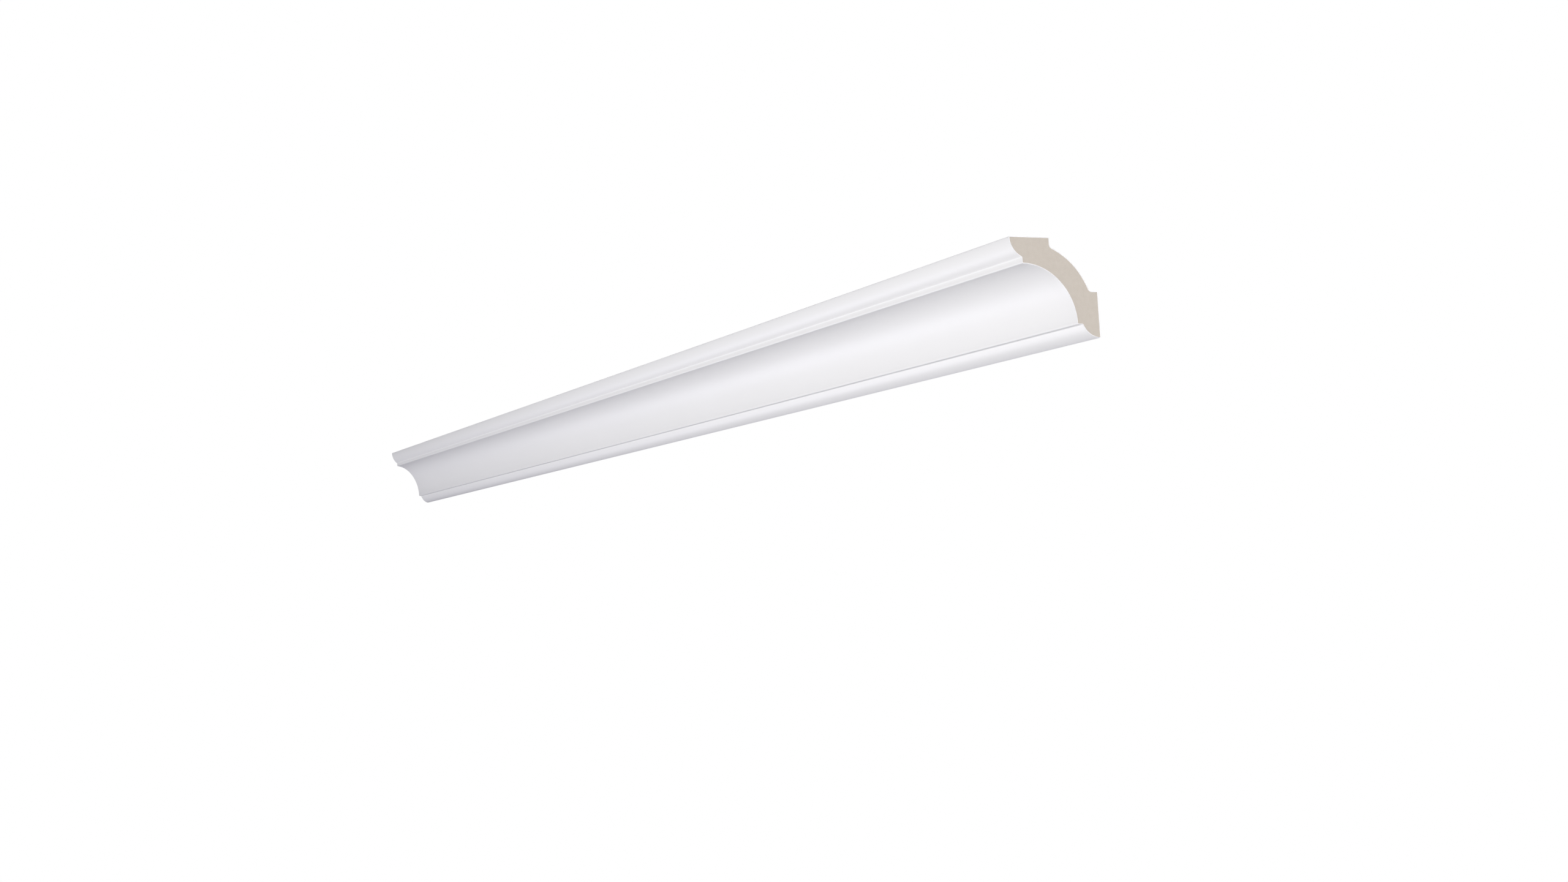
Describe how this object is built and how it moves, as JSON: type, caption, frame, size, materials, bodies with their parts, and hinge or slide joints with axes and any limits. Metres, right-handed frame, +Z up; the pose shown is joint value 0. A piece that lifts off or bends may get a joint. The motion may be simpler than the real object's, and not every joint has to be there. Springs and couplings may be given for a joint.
{
  "type": "crown moulding length",
  "caption": "Coved crown moulding length for the corner of wall and ceiling, cut square at one end and mitred for an inside corner at the other.",
  "frame": {"origin": "middle of the glue face that goes against the wall, half way along the length", "axes": "+X along the run to the square end, +Y into the wall, +Z up to the ceiling, as it is fixed in a room"},
  "size_m": [2, 0.08, 0.08],
  "materials": {
    "primed_foam": "satin white factory primer over hard foam, with the beige foam bare on both cut ends"
  },
  "bodies": {
    "root": {"crown_moulding": "primed_foam"}
  },
  "joints": []
}
